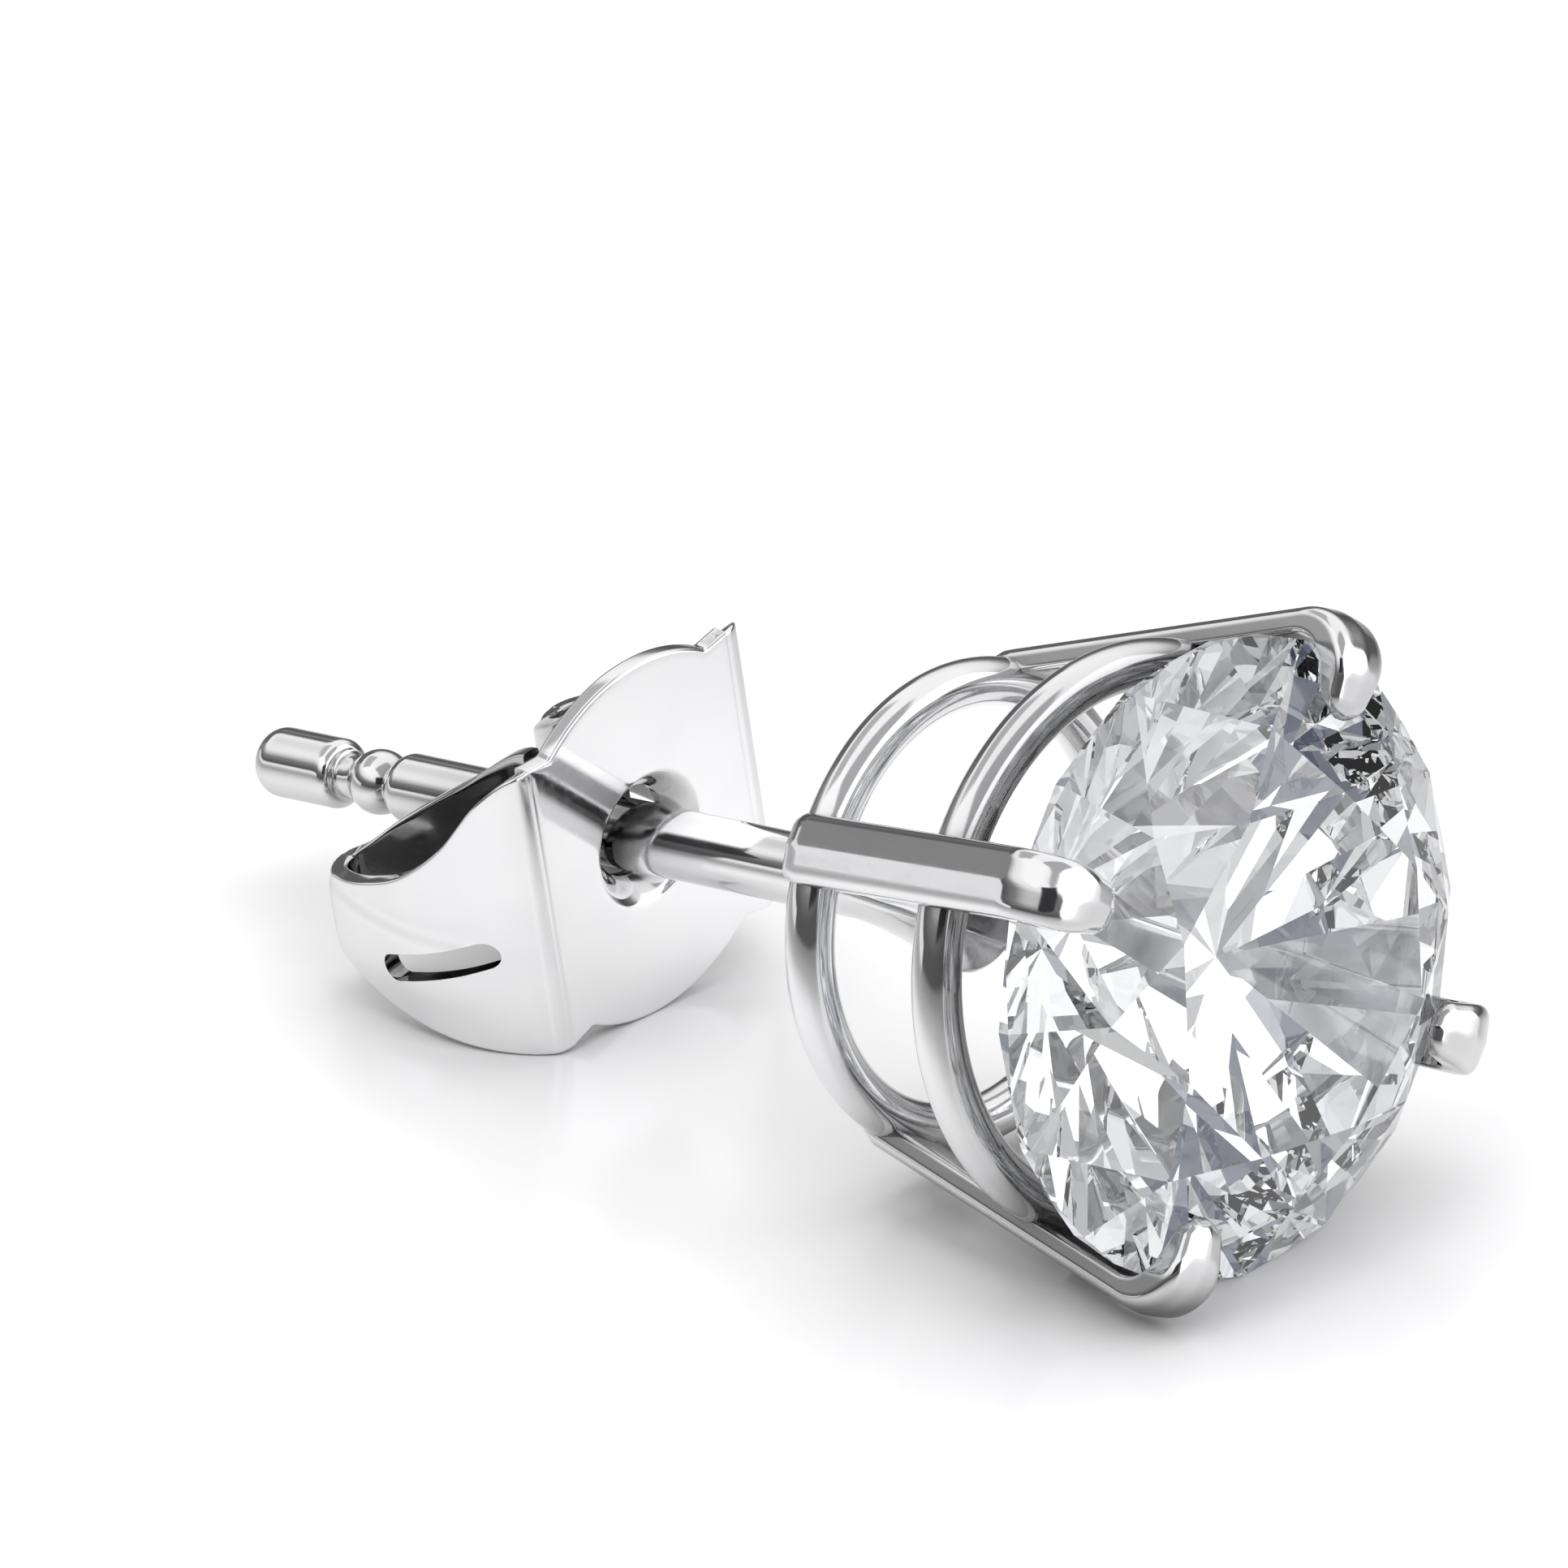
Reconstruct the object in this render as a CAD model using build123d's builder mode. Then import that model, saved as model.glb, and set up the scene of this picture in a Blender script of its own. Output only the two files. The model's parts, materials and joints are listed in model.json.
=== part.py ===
from build123d import *

import os
from math import acos, atan2, cos, degrees, pi, radians, sin, tan

# Four-prong stud earring with a round brilliant stone and a butterfly clutch, lying on a surface.
#
# Each piece is built in its own axes and laid down at the end. The stud's own axes have their origin
# at the centre of the girdle, +Z along the post towards the stone and +X upwards as it lies. The
# clutch's own axes have their origin at the middle of the plate's front face, +X towards the stone
# and the curls rolled about Z.

# Stone (millimetres and degrees)
STONE_RADIUS = 4.0
GIRDLE_HEIGHT = 0.16
GIRDLE_SIDES = 32
TABLE_SHARE = 0.57
CROWN_ANGLE = 34.5
PAVILION_ANGLE = 40.75
STAR_SHARE = 0.50
LOWER_HALF_SHARE = 0.77
SYMMETRY = 8
STONE_TURN = -28.125

# Basket
RAIL_WIRE_RADIUS = 0.31
BASE_RAIL_RADIUS = 2.78
BASE_RAIL_Z = -4.36
GALLERY_RAIL_RADIUS = 3.41
GALLERY_RAIL_Z = -1.65
PRONG_COUNT = 4
PRONG_TURN = 31.6
PRONG_WIDTH = 0.88
PRONG_EDGE_ROUND = 0.18
PRONG_FOOT = (3.16, -4.67)
PRONG_FOOT_THICKNESS = 0.40
PRONG_SHOULDER = (4.43, 0.02)
CLAW_BEND_RADIUS = 0.75
CLAW_BEND = 112
CLAW_FRONT = 0.46
CLAW_NOSE_RADIUS = 3.14
CLAW_NOSE_LENGTH = 0.36
SEAT = (4.04, -0.04)
SEAT_TOP = (4.07, 0.18)
CLAW_ARCH = (3.84, 0.46)
CLAW_CONTACT = (3.26, 0.64)
BRIDGE_WIDTH = 0.80
BRIDGE_THICKNESS = 0.46

# Post
POST_RADIUS = 0.45
POST_TIP_Z = -16.45
POST_FOOT_RADIUS = 0.82
POST_FOOT_TOP_Z = -4.14
POST_FOOT_Z = -4.44
FLARE_WAIST = (0.59, -5.18)
FLARE_END_Z = -6.10
TIP_ROUND = 0.32
TIP_BARREL_Z = -15.05
TIP_SHOULDER_ROUND = 0.14
GROOVE_RADIUS = 0.29
TIP_GROOVE_Z = -14.78
RIDGE_RADIUS = 0.42
RIDGE_Z = -14.48
INNER_GROOVE_Z = -14.16
POST_END_Z = -13.92

# Clutch, cut from sheet; distances behind the plate's front are positive
SHEET = 0.24
PLATE_FRONT_Z = -9.76
PLATE_RADIUS = 2.47
FOLD_START = 1.84
EAR_ROOT = (1.30, 1.98)
NOTCH_ROUND = 0.14
FOLD_RADIUS, FOLD_TURN = 0.36, 44
FLANK_RADIUS, FLANK_TURN = 2.10, 44
TAIL_RADIUS, TAIL_TURN = 4.20, 24
BACK_RADIUS, BACK_TURN = 0.52, 98
LEAF_TURN, LEAF_FLARE = 60, 12
GRIP_GAP = 0.11
CURL_BACK = 3.70
FLANK_TOP = (
    (0, 2.04), (0.45, 1.72), (1.00, 0.98), (1.70, 0.38), (2.40, 0.02), (3.00, -0.23), (3.40, -0.33),
    (CURL_BACK, -0.36),
)
LEAF_TOP = ((0.90, 1.38), (2.40, 0.44), (3.05, -0.02), (3.40, -0.32), (CURL_BACK, -0.36))
CURL_BOTTOM = (
    (0, -2.12), (0.60, -2.04), (1.40, -1.91), (2.40, -1.74), (3.10, -1.57), (CURL_BACK, -1.42)
)
HOLE_RADIUS = 0.60
FUNNEL_RADIUS = 1.00
FUNNEL_DEPTH = 0.34
COLLAR_DEPTH = 0.52
SLOT_LENGTH = 1.85
SLOT_HEIGHT = 0.38
SLOT_DEPTH = 1.32
SLOT_Z = -0.82
SLOT_DROOP = 20

half_girdle = GIRDLE_HEIGHT / 2
girdle_flat = STONE_RADIUS * cos(pi / GIRDLE_SIDES)


def polar(radius, angle, z):
    """Point at a radius, an angle in radians and a height."""
    return Vector(radius * cos(angle), radius * sin(angle), z)


def facet(first, second, third):
    """Plane through three points of a facet, facing away from the middle of the stone."""
    normal = (second - first).cross(third - first).normalized()
    if normal.dot(first) < 0:
        normal = -normal
    return Plane(origin=first, z_dir=normal)


# Stone: a polygonal blank, then one plane for each facet
half_step = pi / SYMMETRY
crown_slope = tan(radians(CROWN_ANGLE))
pavilion_slope = tan(radians(PAVILION_ANGLE))
table_corner = TABLE_SHARE * STONE_RADIUS
table_z = half_girdle + (STONE_RADIUS - table_corner) * crown_slope
table_flat = table_corner * cos(half_step)
star_r = table_flat + STAR_SHARE * (STONE_RADIUS - table_flat)
star_z = half_girdle + (STONE_RADIUS - star_r * cos(half_step)) * crown_slope
lower_r = STONE_RADIUS * (1 - LOWER_HALF_SHARE)
lower_z = -half_girdle - (STONE_RADIUS - lower_r * cos(half_step)) * pavilion_slope

facets = []
for step in range(SYMMETRY):
    main = 2 * half_step * step
    facets.append(Plane(polar(STONE_RADIUS, main, half_girdle), z_dir=polar(crown_slope, main, 1)))
    facets.append(Plane(polar(STONE_RADIUS, main, -half_girdle), z_dir=polar(pavilion_slope, main, -1)))
    facets.append(
        facet(
            polar(table_corner, main, table_z),
            polar(table_corner, main + 2 * half_step, table_z),
            polar(star_r, main + half_step, star_z),
        )
    )
    for between in (main - half_step, main + half_step):
        for edge_z, tip in (
            (half_girdle, polar(star_r, between, star_z)),
            (-half_girdle, polar(lower_r, between, lower_z)),
        ):
            facets.append(
                facet(polar(STONE_RADIUS, main, edge_z), polar(STONE_RADIUS, between, edge_z), tip)
            )

with BuildPart() as stone_cut:
    with BuildSketch(Plane.XY.offset(-half_girdle - STONE_RADIUS * pavilion_slope)):
        RegularPolygon(STONE_RADIUS, GIRDLE_SIDES)
    extrude(amount=half_girdle + STONE_RADIUS * pavilion_slope + table_z)
    for plane in facets:
        split(bisect_by=plane, keep=Keep.BOTTOM)

# Prong: its side view, its long outer edges rounded and its nose rounded as seen from the front
foot_r, foot_z = PRONG_FOOT
with BuildPart() as prong:
    with BuildSketch(Plane.XZ):
        with BuildLine():
            shank = Line(PRONG_FOOT, PRONG_SHOULDER)
            bend = JernArc(shank @ 1, shank % 1, CLAW_BEND_RADIUS, CLAW_BEND)
            front = Line(bend @ 1, bend @ 1 + (bend % 1) * CLAW_FRONT)
            Polyline(front @ 1, CLAW_CONTACT, CLAW_ARCH, SEAT_TOP, SEAT)
            Polyline(SEAT, (foot_r - PRONG_FOOT_THICKNESS, foot_z), PRONG_FOOT)
        make_face()
    extrude(amount=PRONG_WIDTH / 2, both=True)
    outer_middles = [shank @ 0.5, bend @ 0.5, front @ 0.5]
    outer_edges = prong.edges().filter_by(
        lambda e: abs((e @ 0.5).Y) > PRONG_WIDTH / 2 - 1e-6
        and min((Vector((e @ 0.5).X, (e @ 0.5).Z) - middle).length for middle in outer_middles) < 1e-4
    )
    fillet(outer_edges, PRONG_EDGE_ROUND)
    with BuildSketch(Plane.XY.offset(CLAW_ARCH[1])):
        with BuildLine():
            nose_side = (CLAW_NOSE_RADIUS + CLAW_NOSE_LENGTH, PRONG_WIDTH / 2 + 0.04)
            nose_mid = (CLAW_NOSE_RADIUS - 0.03, PRONG_WIDTH / 5)
            ThreePointArc(nose_mid, (CLAW_NOSE_RADIUS + 0.10, PRONG_WIDTH / 2 - 0.07), nose_side)
            Polyline(nose_side, (CLAW_NOSE_RADIUS - 0.3, PRONG_WIDTH), nose_mid)
        make_face()
        mirror(about=Plane.XZ)
    extrude(amount=2 * CLAW_BEND_RADIUS, mode=Mode.SUBTRACT)

# Setting: two wire rails, four prongs, the bridge across the base rail and the post soldered to it
with BuildPart() as basket:
    with Locations((0, 0, BASE_RAIL_Z)):
        Torus(BASE_RAIL_RADIUS, RAIL_WIRE_RADIUS)
        Box(BRIDGE_WIDTH, 2 * BASE_RAIL_RADIUS, BRIDGE_THICKNESS)
    with Locations((0, 0, GALLERY_RAIL_Z)):
        Torus(GALLERY_RAIL_RADIUS, RAIL_WIRE_RADIUS)
    with PolarLocations(0, PRONG_COUNT):
        add(prong.part)
    with BuildSketch(Plane.XZ):
        with BuildLine():
            Polyline(
                (0, POST_FOOT_TOP_Z),
                (POST_FOOT_RADIUS, POST_FOOT_TOP_Z),
                (POST_FOOT_RADIUS, POST_FOOT_Z),
            )
            ThreePointArc((POST_FOOT_RADIUS, POST_FOOT_Z), FLARE_WAIST, (POST_RADIUS, FLARE_END_Z))
            Line((POST_RADIUS, FLARE_END_Z), (POST_RADIUS, POST_END_Z))
            ThreePointArc(
                (POST_RADIUS, POST_END_Z),
                (POST_RADIUS - 0.05, POST_END_Z - 0.09),
                (GROOVE_RADIUS, INNER_GROOVE_Z),
            )
            ThreePointArc(
                (GROOVE_RADIUS, INNER_GROOVE_Z), (RIDGE_RADIUS, RIDGE_Z), (GROOVE_RADIUS, TIP_GROOVE_Z)
            )
            Polyline((GROOVE_RADIUS, TIP_GROOVE_Z), (GROOVE_RADIUS, TIP_BARREL_Z))
            Line((GROOVE_RADIUS, TIP_BARREL_Z), (POST_RADIUS - TIP_SHOULDER_ROUND, TIP_BARREL_Z))
            RadiusArc(
                (POST_RADIUS - TIP_SHOULDER_ROUND, TIP_BARREL_Z),
                (POST_RADIUS, TIP_BARREL_Z - TIP_SHOULDER_ROUND),
                TIP_SHOULDER_ROUND,
            )
            Line(
                (POST_RADIUS, TIP_BARREL_Z - TIP_SHOULDER_ROUND), (POST_RADIUS, POST_TIP_Z + TIP_ROUND)
            )
            RadiusArc(
                (POST_RADIUS, POST_TIP_Z + TIP_ROUND), (POST_RADIUS - TIP_ROUND, POST_TIP_Z), TIP_ROUND
            )
            Polyline((POST_RADIUS - TIP_ROUND, POST_TIP_Z), (0, POST_TIP_Z), (0, POST_FOOT_TOP_Z))
        make_face()
    revolve(axis=Axis.Z)

# Clutch plate: a disc cut off at the two folds, with the ears of the band, and a funnel-shaped hole
with BuildPart() as plate:
    with BuildSketch(Plane.YZ) as plate_outline:
        Circle(PLATE_RADIUS)
        Rectangle(2 * FOLD_START, 2 * PLATE_RADIUS, mode=Mode.INTERSECT)
        root_y, root_z = EAR_ROOT
        with BuildLine():
            Polyline(
                (-FOLD_START, FLANK_TOP[0][1]),
                (-root_y, root_z),
                (root_y, root_z),
                (FOLD_START, FLANK_TOP[0][1]),
                (FOLD_START, CURL_BOTTOM[0][1]),
                (root_y, -root_z),
                (-root_y, -root_z),
                (-FOLD_START, CURL_BOTTOM[0][1]),
                close=True,
            )
        make_face()
        fillet(
            plate_outline.vertices().filter_by(lambda v: abs(v.Y) < FOLD_START - 0.01), NOTCH_ROUND
        )
    extrude(amount=-SHEET)
    with BuildSketch(Plane.XZ):
        Polygon(
            (-SHEET / 2, HOLE_RADIUS),
            (-COLLAR_DEPTH, HOLE_RADIUS),
            (-COLLAR_DEPTH, HOLE_RADIUS + 0.17),
            (-SHEET, FUNNEL_RADIUS + 0.24),
            (-SHEET / 2, FUNNEL_RADIUS + 0.24),
            align=None,
        )
    revolve(axis=Axis.X)
    with BuildSketch(Plane.XZ):
        Polygon(
            (0.1, 0),
            (0.1, FUNNEL_RADIUS),
            (0, FUNNEL_RADIUS),
            (-FUNNEL_DEPTH, HOLE_RADIUS),
            (-COLLAR_DEPTH - 0.1, HOLE_RADIUS),
            (-COLLAR_DEPTH - 0.1, 0),
            align=None,
        )
    revolve(axis=Axis.X, mode=Mode.SUBTRACT)


def rolled_face(start, inset):
    """Draw one face of the rolled band, from the plate round to the end of the leaf."""
    point, tangent = Vector(*start), Vector(0, 1)
    for radius, turn in (
        (FOLD_RADIUS, FOLD_TURN),
        (FLANK_RADIUS, FLANK_TURN),
        (TAIL_RADIUS, TAIL_TURN),
        (BACK_RADIUS, BACK_TURN),
    ):
        arc = JernArc(point, tangent, radius - inset, turn)
        point, tangent = arc @ 1, arc % 1
    heading = radians(FOLD_TURN + FLANK_TURN + TAIL_TURN + BACK_TURN + 90)
    outer_y = point.Y + inset * sin(heading - pi / 2)
    leaf_radius = (outer_y - POST_RADIUS - GRIP_GAP) / (1 - cos(radians(LEAF_TURN)))
    leaf = JernArc(point, tangent, leaf_radius - inset, LEAF_TURN + LEAF_FLARE)
    return leaf @ 1, arc.arc_center.Y


def side_cut(top_table, near, far):
    """Block from one distance across the plate to another, with the band's outline seen from the side."""
    top_line = [(-depth, height) for depth, height in top_table]
    bottom_line = [(-depth, height) for depth, height in CURL_BOTTOM]
    front_top, front_bottom = (SHEET, top_line[0][1]), (SHEET, bottom_line[0][1])
    with BuildPart() as block:
        with BuildSketch(Plane.XZ.offset(-near)):
            with BuildLine():
                Spline(*top_line)
                Spline(*bottom_line)
                Line(top_line[-1], bottom_line[-1])
                Polyline(top_line[0], front_top, front_bottom, bottom_line[0])
            make_face()
        extrude(amount=near - far)
    return block.part


# Curl: the roll of the band in plan, its flank and its leaf each cut to an outline seen from the side
with BuildPart() as curl:
    with BuildSketch():
        with BuildLine():
            outer_end, back_y = rolled_face((0, FOLD_START), 0)
            inner_end, back_y = rolled_face((-SHEET, FOLD_START), SHEET)
            Line((0, FOLD_START), (-SHEET, FOLD_START))
            Line(outer_end, inner_end)
        make_face()
    extrude(amount=2 * PLATE_RADIUS, both=True)
    add(
        side_cut(FLANK_TOP, back_y, 2 * PLATE_RADIUS) + side_cut(LEAF_TOP, 0, back_y),
        mode=Mode.INTERSECT,
    )
    with BuildSketch(Plane.XZ.offset(SLOT_HEIGHT - FOLD_START)):
        with Locations((-SLOT_DEPTH, SLOT_Z)):
            SlotOverall(SLOT_LENGTH, SLOT_HEIGHT, rotation=SLOT_DROOP)
    extrude(amount=-PLATE_RADIUS, mode=Mode.SUBTRACT)

with BuildPart() as clutch_cut:
    add(plate.part)
    add(curl.part)
    mirror(curl.part, about=Plane.XZ)


def laid_tilt():
    """Tilt of the post when the girdle's lowest flat and the plate's rim both meet the surface."""
    behind = -PLATE_FRONT_Z - half_girdle
    reach = (girdle_flat**2 + behind**2) ** 0.5
    return degrees(acos(PLATE_RADIUS / reach) - atan2(behind, girdle_flat))


def ear_turn(above=5.0, below=25.0):
    """Turn of the clutch at which an ear comes down to the surface beside the plate's rim."""
    for _ in range(14):
        middle = (above + below) / 2
        lowest = (Rot(middle, 0, 0) * near_curl).bounding_box().min.Z
        above, below = (middle, below) if lowest > -PLATE_RADIUS else (above, middle)
    return (above + below) / 2


near_curl = mirror(curl.part, about=Plane.XZ)
tilt = laid_tilt()
axis_up = girdle_flat * cos(radians(tilt)) + half_girdle * sin(radians(tilt))
clutch_turn = ear_turn()

# Lay the pieces down, with the middle of their common footprint at the origin
stud_plane = Plane(
    origin=(0, 0, axis_up),
    x_dir=(-sin(radians(tilt)), 0, cos(radians(tilt))),
    z_dir=(cos(radians(tilt)), 0, sin(radians(tilt))),
)
setting_place = stud_plane.location * Location((0, 0, 0), (0, 0, -PRONG_TURN))
stone_place = stud_plane.location * Location((0, 0, 0), (0, 0, STONE_TURN))
plate_centre = stud_plane.from_local_coords((0, 0, PLATE_FRONT_Z))
clutch_place = Location(plate_centre) * Rot(clutch_turn, 0, 0)
laid = Compound([
    setting_place * basket.part,
    stone_place * stone_cut.part,
    clutch_place * clutch_cut.part,
])
box = laid.bounding_box()
middle = Location((-box.center().X, -box.center().Y, -box.min.Z))

with BuildPart() as setting:
    with Locations(middle * setting_place):
        add(basket.part)
with BuildPart() as stone:
    with Locations(middle * stone_place):
        add(stone_cut.part)
with BuildPart() as clutch:
    with Locations(middle * clutch_place):
        add(clutch_cut.part)

setting.part.label = "setting"
stone.part.label = "stone"
clutch.part.label = "clutch"

os.makedirs("parts", exist_ok=True)
for piece in (setting.part, stone.part, clutch.part):
    export_step(piece, f"parts/{piece.label}.step")
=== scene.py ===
"""Four-prong stud earring with a round brilliant stone and a butterfly clutch, lying on a pale table.

Sizes are in millimetres and angles in degrees. Every new piece is worked out with numpy in the own
axes of its sub-assembly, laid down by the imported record's joint and mounts, and written in metres.
"""

import json
import logging
import math
from dataclasses import dataclass, field
from enum import Enum

import bpy
import numpy as np
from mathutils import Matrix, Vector


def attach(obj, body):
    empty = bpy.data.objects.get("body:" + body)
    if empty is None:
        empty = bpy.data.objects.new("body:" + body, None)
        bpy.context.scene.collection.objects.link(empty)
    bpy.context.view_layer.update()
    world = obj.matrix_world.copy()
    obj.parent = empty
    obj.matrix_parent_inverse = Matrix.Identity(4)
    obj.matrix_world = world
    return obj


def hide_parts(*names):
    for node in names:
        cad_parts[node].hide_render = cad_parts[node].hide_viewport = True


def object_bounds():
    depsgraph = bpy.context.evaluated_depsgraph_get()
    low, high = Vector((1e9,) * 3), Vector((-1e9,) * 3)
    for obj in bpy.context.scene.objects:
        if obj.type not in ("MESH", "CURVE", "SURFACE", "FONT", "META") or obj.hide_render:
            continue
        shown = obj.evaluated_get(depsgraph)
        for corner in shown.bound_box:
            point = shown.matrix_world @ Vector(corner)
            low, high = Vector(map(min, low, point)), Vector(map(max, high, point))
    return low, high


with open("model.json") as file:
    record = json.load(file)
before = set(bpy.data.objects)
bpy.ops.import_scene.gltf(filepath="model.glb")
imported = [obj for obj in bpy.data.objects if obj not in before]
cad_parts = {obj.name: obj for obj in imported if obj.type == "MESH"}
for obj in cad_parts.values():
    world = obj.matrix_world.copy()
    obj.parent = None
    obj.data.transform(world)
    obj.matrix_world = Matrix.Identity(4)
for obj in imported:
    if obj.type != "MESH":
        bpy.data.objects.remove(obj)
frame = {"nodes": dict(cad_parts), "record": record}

MM = 0.001
CAD_BOX = [list(corner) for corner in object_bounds()]
CREASE = 38
Pair = tuple[float, float]
Array = np.ndarray
log = logging.getLogger("stud_earring")


class Joinery(Enum):
    """How one solid meets another: soldered on, or pierced through."""

    SOLDER = "UNION"
    PIERCE = "DIFFERENCE"


class Slot(Enum):
    """Names of the record's material slots."""

    SETTING = "setting_metal"
    STONE = "clear_stone"
    CLUTCH = "clutch_metal"


# Geometry in numbers


def arc(centre: Pair, radius: float, start: float, end: float, count: int) -> Array:
    """Points on a circle: centre plus radius times the cosine and sine of evenly spaced angles.

    Args:
        centre: middle of the circle.
        radius: its radius.
        start: first angle in degrees.
        end: last angle in degrees.
        count: number of points.

    Returns:
        Points, one row each.
    """
    angle = np.radians(np.linspace(start, end, count))
    return np.asarray(centre) + radius * np.column_stack((np.cos(angle), np.sin(angle)))


def arc_through(start: Pair, middle: Pair, end: Pair, count: int) -> Array:
    """Circular arc through three points; its centre is where the chords' bisectors cross.

    Args:
        start: first point.
        middle: a point on the way.
        end: last point.
        count: number of points.

    Returns:
        Points, one row each.
    """
    a, b, c = (np.asarray(p, float) for p in (start, middle, end))
    sides = 2 * np.array([b - a, c - a])
    centre = np.linalg.solve(sides, np.array([b @ b - a @ a, c @ c - a @ a]))
    angles = [math.degrees(math.atan2(*(p - centre)[::-1])) for p in (a, b, c)]
    first, via, last = angles
    sweep = (last - first) % 360
    if (via - first) % 360 > sweep:
        sweep -= 360
    return arc(tuple(centre), float(np.linalg.norm(a - centre)), first, first + sweep, count)


def line(start: Pair, end: Pair, count: int) -> Array:
    """Evenly spaced points from start to end, one row each."""
    return np.linspace(start, end, count)


def follow(knots: tuple[Pair, ...], at: Array) -> Array:
    """Smooth curve through knots: on each span a cubic Hermite whose slopes are the chords between the
    neighbours, level at both ends, and constant outside.

    Args:
        knots: pairs of place and height, in order of place.
        at: places to read.

    Returns:
        Heights, in the shape of at.
    """
    x, y = np.asarray(knots, float).T
    slope = np.zeros_like(y)
    slope[1:-1] = (y[2:] - y[:-2]) / (x[2:] - x[:-2])
    place = np.clip(at, x[0], x[-1])
    k = np.clip(np.searchsorted(x, place, side="right") - 1, 0, len(x) - 2)
    span = x[k + 1] - x[k]
    t = (place - x[k]) / span
    rise = (3 - 2 * t) * t * t
    return (
        y[k] * (1 - rise)
        + y[k + 1] * rise
        + span * t * (1 - t) * (slope[k] * (1 - t) - slope[k + 1] * t)
    )


def ease(value: Array, low: float, high: float) -> Array:
    """Smooth step from 0 at low to 1 at high: 3t squared less 2t cubed."""
    t = np.clip((value - low) / (high - low), 0, 1)
    return t * t * (3 - 2 * t)


@dataclass
class Shell:
    """A closed skin: vertices in millimetres and its faces."""

    vertices: Array
    quads: Array
    triangles: Array = field(default_factory=lambda: np.empty((0, 3), int))

    def volume(self) -> float:
        """Signed volume: the sum over triangles of a corner's dot product with the others' cross
        product, over six.

        Returns:
            Cubic millimetres, negative when the faces point inwards.
        """
        halves = np.vstack((self.quads[:, [0, 1, 2]], self.quads[:, [0, 2, 3]], self.triangles))
        a, b, c = (self.vertices[halves[:, k]] for k in range(3))
        return float(np.einsum("ij,ij->", a, np.cross(b, c)) / 6)

    def to_object(self, name: str) -> bpy.types.Object:
        """Make a mesh object whose faces point outwards.

        Args:
            name: name of the object.

        Returns:
            The object, linked to the scene.
        """
        turn = slice(None, None, -1 if self.volume() < 0 else 1)
        faces = self.quads[:, turn].tolist() + self.triangles[:, turn].tolist()
        mesh = bpy.data.meshes.new(name)
        mesh.from_pydata(self.vertices.tolist(), [], faces)
        made = bpy.data.objects.new(name, mesh)
        bpy.context.scene.collection.objects.link(made)
        return made


def skin(rings: Array, looped: bool = False) -> Shell:
    """Skin over a stack of closed rings: each station's points are joined to the next station's, and
    the two ends are closed by fans to their middles, unless the last station runs into the first.

    Args:
        rings: points as stations by points by 3.
        looped: the stack closes on itself.

    Returns:
        The closed shell.
    """
    stations, points, _ = rings.shape
    index = np.arange(stations * points).reshape(stations, points)
    here, ahead = (index, np.roll(index, -1, 0)) if looped else (index[:-1], index[1:])
    quads = np.stack((here, np.roll(here, -1, 1), np.roll(ahead, -1, 1), ahead), -1).reshape(-1, 4)
    vertices = rings.reshape(-1, 3)
    if looped:
        return Shell(vertices, quads)
    first, last, count = index[0], index[-1], stations * points
    fans = np.vstack((
        np.column_stack((np.full(points, count), np.roll(first, -1), first)),
        np.column_stack((np.full(points, count + 1), last, np.roll(last, -1))),
    ))
    return Shell(np.vstack((vertices, rings[[0, -1]].mean(1))), quads, fans)


def turned(profile: Array, steps: int) -> Shell:
    """Lathe work: each profile point swings round the axis, radius times cosine and sine.

    Args:
        profile: radius and height of each point, from one end to the other, off the axis.
        steps: points round the axis.

    Returns:
        The closed shell.
    """
    angle = np.linspace(0, 2 * np.pi, steps, endpoint=False)
    radius, height = profile[:, :1], profile[:, 1:]
    rings = np.stack((radius * np.cos(angle), radius * np.sin(angle), height + 0 * angle), -1)
    return skin(rings)


def wire_ring(radius: float, wire: float, height: float, steps: int, sides: int) -> Shell:
    """Round wire bent to a ring: the major circle plus the wire's circle in the plane of the axis.

    Args:
        radius: of the wire's centreline.
        wire: the wire's own radius.
        height: of the centreline.
        steps: sections round the ring.
        sides: points round the wire.

    Returns:
        The closed shell.
    """
    round_ring = np.linspace(0, 2 * np.pi, steps, endpoint=False)[:, None]
    round_wire = np.linspace(0, 2 * np.pi, sides, endpoint=False)
    out = radius + wire * np.cos(round_wire)
    rise = height + wire * np.sin(round_wire) + 0 * round_ring
    return skin(np.stack((out * np.cos(round_ring), out * np.sin(round_ring), rise), -1), looped=True)


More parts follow.
